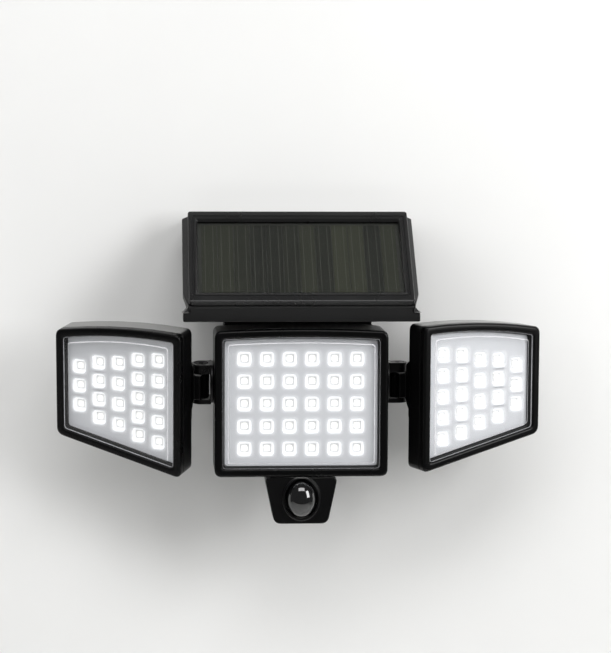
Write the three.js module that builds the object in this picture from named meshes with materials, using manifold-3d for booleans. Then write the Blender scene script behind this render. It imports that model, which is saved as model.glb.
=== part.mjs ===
// Wall-mounted solar flood light: a wedge housing with a solar panel on its slope, a fixed centre
// lamp, a motion sensor pod below it, and two side lamps on tilting arms.
// Millimetres, +Z up. The origin is the middle of the wall face; the lamps face -Y.
import * as THREE from "three";
import { mergeVertices } from "three/addons/utils/BufferGeometryUtils.js";
import Module from "manifold-3d";

const wasm = await Module();
wasm.setup();

// ---- driving dimensions ----
const GAP = 0.3;                 // clearance between touching pieces
const WALL = 2.4;                // moulded wall thickness
const WALL_DEPTH = 64;           // wall face behind the centre lamp's LEDs
const LAMP_DROP = 38;            // wall face centre above the centre lamp's LEDs

// lamp stack, measured along Y from the LED tops (0); negative is towards the viewer
const BEZEL_FRONT = -9;
const BEZEL_LIP = 2.1;
const BEZEL_BACK = -3;
const LENS_FRONT = -8.4;
const LENS_STEP = -6.6;
const LENS_BACK = -4.6;
const RIM_FRONT = BEZEL_BACK + GAP;
const RIM_BACK = -0.7;
const REFLECTOR_FRONT = -2.9;
const REFLECTOR_BACK = 0.6;
const BOARD_FRONT = 0.9;
const BOARD_BACK = 2.5;
const WINDOW_INSET = 5.2;        // visible bezel width
const RIM_INSET = 6.2;
const LENS_INSET = WALL + 0.4;
const CORNER = 5;                // outline corner radius
const CUP = 10;                  // square reflector cup
const LED = 5;                   // square LED package

// centre lamp
const CENTRE_HALF = 57.6;
const CENTRE_TOP = 48.9;
const CENTRE_BOTTOM = -48.3;
const CENTRE_ARCH = 1.3;
const CENTRE_PITCH = 15;
const CENTRE_BACK = 34;

// side lamps, from the hinge pin: x outwards, y towards the wall, z up
const HEAD_INNER = 1;
const HEAD_OUTER = 89.8;
const HEAD_TOP_INNER = 40.6;
const HEAD_TOP_OUTER = 36.8;
const HEAD_BOTTOM_INNER = -57.8;
const HEAD_BOTTOM_OUTER = -35.8;
const HEAD_ARCH = 2.2;
const HEAD_LED_PLANE = -27.7;
const HEAD_BACK = -14.6;
const HEAD_FIRST_COLUMN = 19.3;
const HEAD_PITCH = 14;
const HEAD_COLUMNS = [
  { count: 5, top: 20.5, bottom: -36 },
  { count: 5, top: 19.5, bottom: -32.5 },
  { count: 4, top: 16, bottom: -26.5 },
  { count: 4, top: 15, bottom: -23 },
  { count: 3, top: 11, bottom: -15.5 },
];

// arms
const PIN_X = 66;
const PIN_Y = 17;
const PIN_Z = 12.7;
const SWING = 21.6;              // degrees outwards at rest, both side lamps
const TILT = { left: 8.9, right: 0.8 }; // degrees downwards at rest
const FLANGE_RADIUS = 14.2;
const TRUNNION_RADIUS = 7;
const EAR_RADIUS = 6.5;
const TONGUE_RADIUS = 5.5;
const PIN_RADIUS = 2.3;
const EAR_TOP = [6.6, 13];
const EAR_BOTTOM = [-14.2, -10.9];

// panel: u across, v up the slope, n outwards from the rim's face
const PANEL_TILT = Math.PI / 4;
const PANEL_Y = 15.3;
const PANEL_Z = 97.5;
const PANEL_HALF_U = 74.5;
const PANEL_HALF_V = 40;
const RIM_U = 6.2;
const RIM_V = 8.4;
const PANEL_RIM_DEPTH = 5;
const LIP_HALF = 78.3;
const BODY_HALF = 74;            // housing behind the flange round the panel
const FLANGE_BACK = -13;
const HOUSING_BACK = 60;
const COVER_FRONT = 61.2;
const REAR_HALF = 50;
const REAR_BOTTOM = -42;

// sensor pod
const POD_TOP = CENTRE_BOTTOM - GAP;
const POD_BOTTOM = -80;
const POD_HALF_TOP = 24.4;
const POD_HALF_BOTTOM = 17.8;
const POD_FRONT = -7.6;
const POD_BACK = 12;
const DOME_Z = -62.9;
const DOME_RADIUS = 10.3;
const DOME_STRETCH = 1.22;       // the dome is taller than it is wide

// ---- solids ----
function solid(geometry) {
  const bare = geometry.clone();
  bare.deleteAttribute("normal");
  bare.deleteAttribute("uv");
  const merged = mergeVertices(bare, 1e-4);
  return new wasm.Manifold(new wasm.Mesh({
    numProp: 3,
    vertProperties: new Float32Array(merged.attributes.position.array),
    triVerts: new Uint32Array(merged.index.array),
  }));
}

function geometryOf(body) {
  const mesh = body.getMesh();
  const geometry = new THREE.BufferGeometry();
  geometry.setAttribute("position", new THREE.BufferAttribute(mesh.vertProperties, 3));
  geometry.setIndex(new THREE.BufferAttribute(mesh.triVerts, 1));
  geometry.computeVertexNormals();
  return geometry;
}

const join = (...bodies) => bodies.reduce((all, body) => all.add(body));
const cut = (body, ...tools) => tools.reduce((rest, tool) => rest.subtract(tool), body);

// a flat outline in X and Z, given depth from y0 (front) to y1 (back)
function plate(shape, y0, y1) {
  const geometry = new THREE.ExtrudeGeometry(shape, {
    depth: y1 - y0, bevelEnabled: false, curveSegments: 5,
  });
  return solid(geometry.rotateX(Math.PI / 2).translate(0, y1, 0));
}

// a side profile in Y and Z, given width from -half to half along X
function profile(points, half) {
  const shape = new THREE.Shape(points.map(([y, z]) => new THREE.Vector2(y, z)));
  const geometry = new THREE.ExtrudeGeometry(shape, { depth: 2 * half, bevelEnabled: false });
  geometry.applyMatrix4(new THREE.Matrix4().makeBasis(
    new THREE.Vector3(0, 1, 0), new THREE.Vector3(0, 0, 1), new THREE.Vector3(1, 0, 0)));
  return solid(geometry.translate(-half, 0, 0));
}

function block(x0, x1, y0, y1, z0, z1) {
  const geometry = new THREE.BoxGeometry(Math.abs(x1 - x0), y1 - y0, z1 - z0);
  return solid(geometry.translate((x0 + x1) / 2, (y0 + y1) / 2, (z0 + z1) / 2));
}

// a round bar along one axis, through the point (a, b) of the other two
function bar(axis, radius, from, to, a = 0, b = 0, sides = 20) {
  const geometry = new THREE.CylinderGeometry(radius, radius, Math.abs(to - from), sides);
  const middle = (from + to) / 2;
  if (axis === "x") geometry.rotateZ(Math.PI / 2).translate(middle, a, b);
  if (axis === "y") geometry.translate(a, middle, b);
  if (axis === "z") geometry.rotateX(Math.PI / 2).translate(a, b, middle);
  return solid(geometry);
}

// ---- outlines ----
// corners run bottom left, bottom right, top right, top left
function inset(corners, distance) {
  const lines = corners.map((corner, i) => {
    const next = corners[(i + 1) % 4];
    const length = Math.hypot(next[0] - corner[0], next[1] - corner[1]);
    const along = [(next[0] - corner[0]) / length, (next[1] - corner[1]) / length];
    return {
      point: [corner[0] - along[1] * distance, corner[1] + along[0] * distance], along,
    };
  });
  return lines.map((line, i) => {
    const before = lines[(i + 3) % 4];
    const cross = before.along[0] * line.along[1] - before.along[1] * line.along[0];
    const dx = line.point[0] - before.point[0];
    const dz = line.point[1] - before.point[1];
    const t = (dx * line.along[1] - dz * line.along[0]) / cross;
    return [before.point[0] + t * before.along[0], before.point[1] + t * before.along[1]];
  });
}

function outline(corners, radius, arch = 0) {
  const towards = (a, b) => {
    const length = Math.hypot(b[0] - a[0], b[1] - a[1]);
    return [a[0] + (b[0] - a[0]) * radius / length, a[1] + (b[1] - a[1]) * radius / length];
  };
  const [bottomLeft, bottomRight, topRight, topLeft] = corners;
  const shape = new THREE.Shape();
  shape.moveTo(...towards(bottomLeft, bottomRight));
  shape.lineTo(...towards(bottomRight, bottomLeft));
  shape.quadraticCurveTo(...bottomRight, ...towards(bottomRight, topRight));
  shape.lineTo(...towards(topRight, bottomRight));
  shape.quadraticCurveTo(...topRight, ...towards(topRight, topLeft));
  shape.quadraticCurveTo((topLeft[0] + topRight[0]) / 2,
    (topLeft[1] + topRight[1]) / 2 + 2 * arch, ...towards(topLeft, topRight));
  shape.quadraticCurveTo(...topLeft, ...towards(topLeft, bottomLeft));
  shape.lineTo(...towards(bottomLeft, topLeft));
  shape.quadraticCurveTo(...bottomLeft, ...towards(bottomLeft, bottomRight));
  return shape;
}

// ---- the pieces that every lamp has ----
// A lamp is its outline, its arch, its LED centres and the Y of its LED tops.
const lampOutline = (lamp, distance) =>
  outline(inset(lamp.corners, distance), Math.max(CORNER - distance / 2, 2), lamp.arch);
const lampPlate = (lamp, distance, front, back) =>
  plate(lampOutline(lamp, distance), lamp.y + front, lamp.y + back);

function lampBezel(lamp) {
  return cut(lampPlate(lamp, 0, BEZEL_FRONT, BEZEL_BACK),
    lampPlate(lamp, WINDOW_INSET, BEZEL_FRONT - 1, BEZEL_BACK + 1),
    lampPlate(lamp, WALL, BEZEL_FRONT + BEZEL_LIP, BEZEL_BACK + 1));
}

function lampLens(lamp) {
  return join(lampPlate(lamp, LENS_INSET, LENS_STEP, LENS_BACK),
    lampPlate(lamp, WINDOW_INSET + GAP, LENS_FRONT, LENS_STEP + 0.1));
}

function lampGasket(lamp) {
  return cut(lampPlate(lamp, LENS_INSET, LENS_BACK + GAP, BEZEL_BACK),
    lampPlate(lamp, RIM_INSET, LENS_BACK, BEZEL_BACK + 1));
}

function lampReflector(lamp) {
  const half = CUP / 2;
  const cups = lamp.leds.map(([x, z]) => block(
    x - half, x + half, lamp.y - 5, lamp.y + 5, z - half, z + half));
  return cut(lampPlate(lamp, RIM_INSET + GAP, REFLECTOR_FRONT, REFLECTOR_BACK), ...cups,
    ...lamp.screws.map(([x, z]) => bar("y", 1.4, lamp.y - 1.6, lamp.y + 1, x, z, 10)));
}

function lampBoard(lamp) {
  const board = lampPlate(lamp, LENS_INSET, BOARD_FRONT, BOARD_BACK);
  const packages = lamp.leds.map(([x, z]) => block(
    x - LED / 2, x + LED / 2, lamp.y, lamp.y + BOARD_FRONT + 0.1, z - LED / 2, z + LED / 2));
  return cut(join(board, ...packages),
    ...lamp.screws.map(([x, z]) => bar("y", 1.6, lamp.y, lamp.y + 4, x, z, 10)));
}

// ---- centre lamp ----
const centreLamp = {
  corners: [[-CENTRE_HALF, CENTRE_BOTTOM], [CENTRE_HALF, CENTRE_BOTTOM],
    [CENTRE_HALF, CENTRE_TOP], [-CENTRE_HALF, CENTRE_TOP]],
  arch: CENTRE_ARCH,
  y: 0,
  leds: [],
  screws: [],
};
for (let column = 0; column < 6; column++) {
  for (let row = 0; row < 5; row++) {
    centreLamp.leds.push([(column - 2.5) * CENTRE_PITCH, (2 - row) * CENTRE_PITCH]);
  }
}

// ---- side lamps ----
function sideLamp(side) {
  const corner = (x, z) => [side * x, z];
  const inner = [corner(HEAD_INNER, HEAD_BOTTOM_INNER), corner(HEAD_INNER, HEAD_TOP_INNER)];
  const outer = [corner(HEAD_OUTER, HEAD_BOTTOM_OUTER), corner(HEAD_OUTER, HEAD_TOP_OUTER)];
  const leds = [];
  HEAD_COLUMNS.forEach(({ count, top, bottom }, column) => {
    for (let row = 0; row < count; row++) {
      leds.push([side * (HEAD_FIRST_COLUMN + HEAD_PITCH * column),
        top + (bottom - top) * row / (count - 1)]);
    }
  });
  const corners = side > 0 ? [inner[0], outer[0], outer[1], inner[1]]
    : [outer[0], inner[0], inner[1], outer[1]];
  return {
    corners, arch: HEAD_ARCH, y: HEAD_LED_PLANE, leds,
    screws: [corner(11, -43), corner(78, 26.5), corner(78, -27)],
  };
}

function headShell(lamp, side) {
  const hollow = cut(lampPlate(lamp, 0, RIM_FRONT, HEAD_BACK - lamp.y),
    lampPlate(lamp, RIM_INSET, RIM_FRONT - 1, RIM_BACK + 0.1),
    lampPlate(lamp, WALL, RIM_BACK, HEAD_BACK - lamp.y - WALL));
  const posts = lamp.screws.map(([x, z]) =>
    bar("y", 3.4, lamp.y + BOARD_BACK + GAP, HEAD_BACK - 1, x, z, 12));
  const bores = lamp.screws.flatMap(([x, z]) => [
    bar("y", 1.6, lamp.y, HEAD_BACK + 1, x, z, 10),
    bar("y", 3, HEAD_BACK - 1.9, HEAD_BACK + 1, x, z, 12)]);
  const bracket = profile([[HEAD_BACK - 0.1, 14], [HEAD_BACK - 0.1, -21], [-10, -15], [-8.2, -11],
    [-8.2, 11], [-10.5, 14]], 6.5).translate([side * 8.5, 0, 0]);
  const web = block(side * -3, side * 7, -9, 0, EAR_BOTTOM[1] + GAP, EAR_TOP[0] - GAP);
  const knuckle = bar("z", TONGUE_RADIUS, EAR_BOTTOM[1] + GAP, EAR_TOP[0] - GAP);
  return cut(join(hollow, ...posts, bracket, web, knuckle), ...bores,
    bar("z", PIN_RADIUS + GAP, EAR_BOTTOM[0], EAR_TOP[1], 0, 0, 16));
}

function headScrew(lamp, [x, z]) {
  const head = bar("y", 2.7, HEAD_BACK - 1.6, HEAD_BACK - 0.1, x, z, 14);
  const shank = bar("y", 1.1, lamp.y - 1.2, HEAD_BACK - 1.5, x, z, 8);
  const slot = block(x - 1.9, x + 1.9, HEAD_BACK - 0.8, HEAD_BACK + 1, z - 0.35, z + 0.35);
  return cut(join(head, shank), slot);
}

// ---- arms, from the point where the tilt axis meets the hinge pin ----
const FLANGE_INNER = CENTRE_HALF + GAP - PIN_X;
const FLANGE_OUTER = FLANGE_INNER + 2;
const TRUNNION_END = FLANGE_INNER - 7.2;

function armYoke(side) {
  const x = (value) => side * value;
  const flange = bar("x", FLANGE_RADIUS, x(FLANGE_INNER), x(FLANGE_OUTER), 0, 0, 28);
  const trunnion = bar("x", TRUNNION_RADIUS, x(TRUNNION_END), x(FLANGE_INNER + 0.5), 0, 0, 24);
  const ears = [EAR_TOP, EAR_BOTTOM].map(([low, high]) => join(
    bar("z", EAR_RADIUS, low, high, 0, 0, 24),
    block(x(FLANGE_OUTER - 0.5), 0, -EAR_RADIUS, EAR_RADIUS, low, high)));
  const groove = cut(bar("x", 11.6, x(FLANGE_INNER - 1), x(FLANGE_INNER + 1.2), 0, 0, 24),
    bar("x", 9.4, x(FLANGE_INNER - 2), x(FLANGE_INNER + 2), 0, 0, 24));
  const wireBore = bar("x", 3.4, x(TRUNNION_END - 1), x(FLANGE_OUTER - 1), 0, 0, 14);
  const keepInside = block(x(FLANGE_INNER - 1), x(20), -20, 20, -FLANGE_RADIUS, 13);
  const upper = join(flange, ...ears).intersect(keepInside);
  return cut(join(upper, trunnion), groove, wireBore,
    bar("z", PIN_RADIUS + GAP, EAR_BOTTOM[0] - 1, EAR_TOP[1] + 1, 0, 0, 16),
    bar("z", 4.6, EAR_TOP[1] - 2.4, EAR_TOP[1] + 1, 0, 0, 18),
    bar("z", 4.4, EAR_BOTTOM[0] - 1, EAR_BOTTOM[0] + 2, 0, 0, 18));
}

function armSeal(side) {
  const geometry = new THREE.TorusGeometry(10.5, 0.45, 6, 18).rotateY(Math.PI / 2);
  return solid(geometry.translate(side * (FLANGE_INNER + 0.6), 0, 0));
}

function armNut(side) {
  const outerFace = CENTRE_HALF - WALL - GAP - PIN_X;
  const body = bar("x", 11, side * (outerFace - 3.4), side * outerFace, 0, 0, 6);
  return cut(body, bar("x", TRUNNION_RADIUS + GAP, side * (outerFace - 6), side * 2, 0, 0, 24));
}

function hingeBolt() {
  const head = bar("z", 4.2, EAR_TOP[1] - 2.1, EAR_TOP[1] - 0.1, 0, 0, 18);
  const shank = bar("z", PIN_RADIUS, EAR_BOTTOM[0] + 0.2, EAR_TOP[1] - 2, 0, 0, 14);
  const socket = bar("z", 1.7, EAR_TOP[1] - 1.4, EAR_TOP[1] + 1, 0, 0, 6);
  return cut(join(head, shank), socket);
}

function hingeNut() {
  return cut(bar("z", 4, EAR_BOTTOM[0] + 0.1, EAR_BOTTOM[0] + 1.7, 0, 0, 6),
    bar("z", PIN_RADIUS + GAP, EAR_BOTTOM[0] - 1, EAR_BOTTOM[0] + 3, 0, 0, 14));
}

// ---- solar panel, built flat with n along Z, then laid on the slope ----
function onSlope(body) {
  return body.rotate([PANEL_TILT * 180 / Math.PI, 0, 0]).translate([0, PANEL_Y, PANEL_Z]);
}

function panelBezel() {
  const rim = block(-PANEL_HALF_U, PANEL_HALF_U, -PANEL_HALF_V, PANEL_HALF_V, -PANEL_RIM_DEPTH, 0);
  const u = PANEL_HALF_U - RIM_U;
  const v = PANEL_HALF_V - RIM_V;
  return onSlope(cut(rim, block(-u, u, -v, v, -9, 1),
    block(-u - 2.8, u + 2.8, -v - 2.8, v + 2.8, -9, -2.2)));
}

function solarPanel() {
  const u = PANEL_HALF_U - RIM_U + 2.5;
  const v = PANEL_HALF_V - RIM_V + 2.5;
  return onSlope(block(-u, u, -v, v, -4.9, -2.5));
}

function panelGasket() {
  const u = PANEL_HALF_U - RIM_U + 2.5;
  const v = PANEL_HALF_V - RIM_V + 2.5;
  return onSlope(cut(block(-u, u, -v, v, -6.4, -5.2), block(3 - u, u - 3, 3 - v, v - 3, -9, 0)));
}

// ---- main housing ----
// a point of the slope in Y and Z, from its v and n
function slopePoint(v, n) {
  const c = Math.cos(PANEL_TILT);
  const s = Math.sin(PANEL_TILT);
  return [PANEL_Y + v * c - n * s, PANEL_Z + v * s + n * c];
}

// a block whose two ends differ in size: each end has a half width, a low and high side, and n
function taper(top, bottom) {
  const geometry = new THREE.BoxGeometry(2, 2, 2);
  const position = geometry.attributes.position;
  for (let i = 0; i < position.count; i++) {
    const end = position.getZ(i) > 0 ? top : bottom;
    const v = position.getY(i) > 0 ? end.high : end.low;
    position.setXYZ(i, position.getX(i) * end.half, v, end.n);
  }
  return solid(geometry);
}

const RIM_SEAT = -PANEL_RIM_DEPTH - GAP;
const SKIRT_N = -7.6;
const SKIRT_LOW = slopePoint(-PANEL_HALF_V - 3.6, SKIRT_N);
const SKIRT_HIGH = slopePoint(PANEL_HALF_V, SKIRT_N);
const LIP_BACK = 4;
const FLANGE_CORNER = -27;       // where the flange's lower corners start to draw in
const LIP_BOTTOM = 55.2;
const UNDERSIDE_BACK = 66;
const COVER_TOP = 119.8;
const BUTTON = { x: 25, y: 44, radius: 5.6 };
const ARM_HOLE = TRUNNION_RADIUS + GAP;
const COVER_SCREWS = [[-68.5, 111], [68.5, 111], [-43, -35], [43, -35]];

// the sloping flange round the rim; its lower corners draw in to the rim's own width
function panelFlange() {
  const low = -PANEL_HALF_V - 1;
  const shape = new THREE.Shape([[-LIP_HALF, PANEL_HALF_V], [-LIP_HALF, FLANGE_CORNER],
    [-PANEL_HALF_U, low], [PANEL_HALF_U, low], [LIP_HALF, FLANGE_CORNER],
    [LIP_HALF, PANEL_HALF_V]].map(([u, v]) => new THREE.Vector2(u, v)));
  const depth = RIM_SEAT - FLANGE_BACK;
  const outlined = solid(new THREE.ExtrudeGeometry(shape, { depth, bevelEnabled: false })
    .translate(0, 0, FLANGE_BACK));
  const slope = taper({ half: PANEL_HALF_U, low, high: PANEL_HALF_V, n: RIM_SEAT },
    { half: LIP_HALF, low, high: PANEL_HALF_V, n: SKIRT_N });
  const edge = block(-LIP_HALF, LIP_HALF, low, PANEL_HALF_V, FLANGE_BACK, SKIRT_N + 0.1);
  return onSlope(join(slope, edge).intersect(outlined));
}

// the lip under the panel flares out again from the rim's lower edge
function panelLip() {
  const [rimY, rimZ] = slopePoint(-PANEL_HALF_V, RIM_SEAT);
  const flare = taper({ half: PANEL_HALF_U, low: rimY, high: LIP_BACK, n: rimZ },
    { half: LIP_HALF, low: SKIRT_LOW[0], high: LIP_BACK, n: SKIRT_LOW[1] - 0.1 });
  return join(flare,
    block(-LIP_HALF, LIP_HALF, SKIRT_LOW[0], LIP_BACK, LIP_BOTTOM, SKIRT_LOW[1]));
}

function mainHousing() {
  const front = lampPlate(centreLamp, 0, RIM_FRONT, CENTRE_BACK);
  const rear = block(-REAR_HALF, REAR_HALF, CENTRE_BACK - 2, HOUSING_BACK, REAR_BOTTOM, 64);
  const wedge = profile([SKIRT_LOW, [SKIRT_LOW[0], LIP_BOTTOM], [HOUSING_BACK, UNDERSIDE_BACK],
    [HOUSING_BACK, COVER_TOP], SKIRT_HIGH, slopePoint(PANEL_HALF_V, RIM_SEAT),
    slopePoint(-PANEL_HALF_V, RIM_SEAT)], BODY_HALF);
  const frontHollow = lampPlate(centreLamp, WALL, RIM_BACK, CENTRE_BACK - WALL);
  const frontMouth = lampPlate(centreLamp, RIM_INSET, RIM_FRONT - 1, RIM_BACK + 0.1);
  const rearInner = REAR_HALF - WALL;
  const rearHollow = join(
    block(-rearInner, rearInner, CENTRE_BACK - 2 + WALL, 70, REAR_BOTTOM + WALL, 75),
    block(-rearInner, rearInner, CENTRE_BACK - 4, 40, REAR_BOTTOM + WALL, CENTRE_TOP - WALL - 3));
  const roof = SKIRT_N - 1.5;
  const wedgeHollow = profile([slopePoint(-41.5, roof),
    [SKIRT_LOW[0] + WALL, LIP_BOTTOM + WALL + 0.4], [70, UNDERSIDE_BACK + 4],
    [70, COVER_TOP - WALL], slopePoint(PANEL_HALF_V - 2.5, roof)], BODY_HALF - WALL);
  const u = PANEL_HALF_U - RIM_U;
  const v = PANEL_HALF_V - RIM_V;
  const seat = onSlope(block(-u - 2.8, u + 2.8, -v - 2.8, v + 2.8, -6.7, 0));
  const opening = onSlope(block(-u + 2, u - 2, -v + 2, v - 2, -12, 0));
  const bosses = COVER_SCREWS.map(([x, z]) => bar("y", 4, z > 0 ? 54.5 : 35, HOUSING_BACK, x, z, 14));
  const webs = COVER_SCREWS.map(([x, z]) => block(x, x + Math.sign(x) * 5,
    z > 0 ? 54.5 : 35, HOUSING_BACK, z - 1, z + 1));
  const holes = COVER_SCREWS.map(([x, z]) => bar("y", 1.7, 20, 70, x, z, 10));
  const posts = [[-52, -38], [52, -38], [-52, 38], [52, 38]].map(([x, z]) =>
    bar("y", 2.8, BOARD_BACK + GAP, CENTRE_BACK - 1, x, z, 12));
  const hollow = cut(join(front, rear, wedge, panelFlange(), panelLip()), frontHollow,
    frontMouth, rearHollow, wedgeHollow, seat, opening);
  const openings = [
    bar("x", ARM_HOLE, -70, 70, PIN_Y, PIN_Z, 24),
    block(-5, 5, 2, 10, CENTRE_BOTTOM - 2, CENTRE_BOTTOM + WALL + 1),
    bar("z", BUTTON.radius + GAP, REAR_BOTTOM - 1, REAR_BOTTOM + WALL + 1, BUTTON.x, BUTTON.y, 20)];
  return cut(join(hollow, ...bosses, ...webs, ...posts), ...holes, ...openings);
}

// the outline of the housing's open back, drawn in from its edge
function backOutline(edge) {
  const half = BODY_HALF - edge;
  const rear = REAR_HALF - edge;
  const points = [[-rear, REAR_BOTTOM + edge], [rear, REAR_BOTTOM + edge],
    [rear, UNDERSIDE_BACK + edge], [half, UNDERSIDE_BACK + edge], [half, COVER_TOP - edge],
    [-half, COVER_TOP - edge], [-half, UNDERSIDE_BACK + edge], [-rear, UNDERSIDE_BACK + edge]];
  return new THREE.Shape(points.map(([x, z]) => new THREE.Vector2(x, z)));
}

function keyhole(x, z) {
  return join(bar("y", 4.6, 50, 70, x, z, 20), bar("y", 2.3, 50, 70, x, z + 8, 14),
    block(x - 2.3, x + 2.3, 50, 70, z, z + 8));
}

function backCover() {
  const screws = COVER_SCREWS.flatMap(([x, z]) => [bar("y", 1.7, 50, 70, x, z, 10),
    bar("y", 3.3, WALL_DEPTH - 1.7, 70, x, z, 14)]);
  return cut(plate(backOutline(0), COVER_FRONT, WALL_DEPTH), keyhole(-50, 92), keyhole(50, 92),
    bar("y", 2.3, 50, 70, 0, -30, 14), ...screws);
}

function housingGasket() {
  const ring = cut(plate(backOutline(0.3), HOUSING_BACK + GAP, COVER_FRONT - GAP),
    plate(backOutline(WALL), 50, 70));
  return ring;
}

function coverScrew([x, z]) {
  const head = bar("y", 3, WALL_DEPTH - 1.4, WALL_DEPTH - 0.1, x, z, 16);
  const shank = bar("y", 1.4, z > 0 ? 56 : 46, WALL_DEPTH - 1.3, x, z, 10);
  const slot = block(x - 2.1, x + 2.1, WALL_DEPTH - 0.8, WALL_DEPTH + 1, z - 0.4, z + 0.4);
  return cut(join(head, shank), slot);
}

// ---- inside the housing ----
const CELL_RADIUS = 9.2;
const CELL_Z = 80.6;
const CELL_YS = { front: 27, rear: 48.5 };

function batteryHolder() {
  const tray = join(block(-37.5, 37.5, 17, 58.5, 69.3, 76),
    block(-37.5, -35, 17, 58.5, 69.3, 84), block(35, 37.5, 17, 58.5, 69.3, 84));
  const cradles = Object.values(CELL_YS).map((y) =>
    bar("x", CELL_RADIUS + GAP, -34.9, 34.9, y, CELL_Z, 28));
  const slope = onSlope(block(-50, 50, -60, 60, -11.5, 20));
  return cut(tray, ...cradles, slope);
}

function batteryCell(y) {
  const can = bar("x", CELL_RADIUS, -32.5, 31.5, y, CELL_Z, 28);
  const cap = bar("x", 3.2, 31, 33, y, CELL_Z, 14);
  return join(can, cap);
}

function controlBoard() {
  const board = block(-44, 44, 47, 48.6, -28, 50);
  const chips = [block(-30, -18, 44.5, 47.1, 10, 22), block(5, 17, 45, 47.1, -10, 2),
    block(-10, 8, 41, 47.1, 28, 40), block(BUTTON.x - 4, BUTTON.x + 4, 42, 47.1, -36.4, -26)];
  return join(board, ...chips);
}

function modeButton() {
  const cap = bar("z", BUTTON.radius, REAR_BOTTOM - 2.4, REAR_BOTTOM + WALL + 0.5, BUTTON.x,
    BUTTON.y, 24);
  const flange = bar("z", 7.4, REAR_BOTTOM + WALL + GAP, REAR_BOTTOM + WALL + 1.5, BUTTON.x,
    BUTTON.y, 20);
  return join(cap, flange);
}

// ---- sensor pod ----
const podCorners = [[-POD_HALF_BOTTOM, POD_BOTTOM], [POD_HALF_BOTTOM, POD_BOTTOM],
  [POD_HALF_TOP, POD_TOP], [-POD_HALF_TOP, POD_TOP]];
const podPlate = (distance, radius, front, back) =>
  plate(outline(inset(podCorners, distance), radius), front, back);

// an upright oval bar along Y, centred on the dome
function oval(halfWidth, halfHeight, y0, y1) {
  const geometry = new THREE.CylinderGeometry(1, 1, y1 - y0, 32);
  return solid(geometry.scale(halfWidth, 1, halfHeight).translate(0, (y0 + y1) / 2, DOME_Z));
}

const DOME_HALF_HEIGHT = DOME_RADIUS * DOME_STRETCH;
const COLLAR_WIDTH = 2.2;

function sensorHousing() {
  const collar = oval(DOME_RADIUS + COLLAR_WIDTH, DOME_HALF_HEIGHT + COLLAR_WIDTH,
    POD_FRONT - 2.6, POD_FRONT + 0.1);
  const body = join(podPlate(0, 4.5, POD_FRONT, POD_BACK), collar);
  return cut(body.intersect(block(-30, 30, POD_FRONT - 5, POD_BACK, POD_BOTTOM, POD_TOP)),
    podPlate(WALL, 3, POD_FRONT + WALL, POD_BACK + 1),
    oval(DOME_RADIUS + GAP, DOME_HALF_HEIGHT + GAP, POD_FRONT - 5, POD_FRONT + 5),
    block(-20, 20, POD_FRONT + WALL, POD_BACK + 1, POD_TOP - WALL - 1, POD_TOP + 1));
}

function sensorBackCover() {
  return podPlate(0.2, 4.5, POD_BACK + GAP, POD_BACK + 2.5);
}

function sensorDome() {
  const steps = 6;
  const inner = DOME_RADIUS - 1;
  const arc = (radius) => Array.from({ length: steps }, (_, i) => {
    const angle = i / steps * Math.PI / 2;
    return new THREE.Vector2(radius * Math.cos(angle), radius * Math.sin(angle));
  });
  const flange = DOME_RADIUS + 0.8;
  const points = [new THREE.Vector2(0, inner), ...arc(inner).reverse(),
    new THREE.Vector2(inner, -3.8), new THREE.Vector2(flange, -3.8),
    new THREE.Vector2(flange, -2.7), new THREE.Vector2(DOME_RADIUS, -2.7), ...arc(DOME_RADIUS),
    new THREE.Vector2(0, DOME_RADIUS)];
  const geometry = new THREE.LatheGeometry(points, 22).rotateX(Math.PI).scale(1, 1, DOME_STRETCH);
  return solid(geometry.translate(0, POD_FRONT, DOME_Z));
}

function pirDetector() {
  return cut(join(bar("y", 4.6, -2, 2.9, 0, DOME_Z, 20), bar("y", 5.2, 2, 2.9, 0, DOME_Z, 20)),
    block(-2.2, 2.2, -3, -1.6, DOME_Z - 1.6, DOME_Z + 1.6));
}

function sensorBoard() {
  return join(block(-13, 13, 3.2, 4.8, -75, -54), block(-9, -3, 4.7, 6.6, -72, -67));
}

// ---- materials ----
const finish = (color, roughness, metalness) => ({ color, roughness, metalness });
const BLACK = finish(0x161616, 0.45, 0);
const GLOSS_BLACK = finish(0x0a0a0b, 0.08, 0);
const RUBBER = finish(0x1c1c1c, 0.85, 0);
const CLEAR = finish(0xdfe6ea, 0.05, 0);
const WHITE = finish(0xe6e6e4, 0.35, 0);
const BOARD_WHITE = finish(0xf2f2ee, 0.5, 0);
const BOARD_GREEN = finish(0x1f5a35, 0.5, 0);
const CELLS = finish(0x23251f, 0.12, 0.1);
const STEEL = finish(0xb9bcc0, 0.3, 1);
const WRAP = finish(0x2f6f9e, 0.4, 0);

function piece(group, name, body, look) {
  const mesh = new THREE.Mesh(geometryOf(body), new THREE.MeshStandardMaterial(look));
  mesh.name = name;
  group.add(mesh);
}

// ---- assembly ----
const floodLight = new THREE.Group();
const light = new THREE.Group();
light.position.set(0, -WALL_DEPTH, -LAMP_DROP);
floodLight.add(light);

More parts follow.
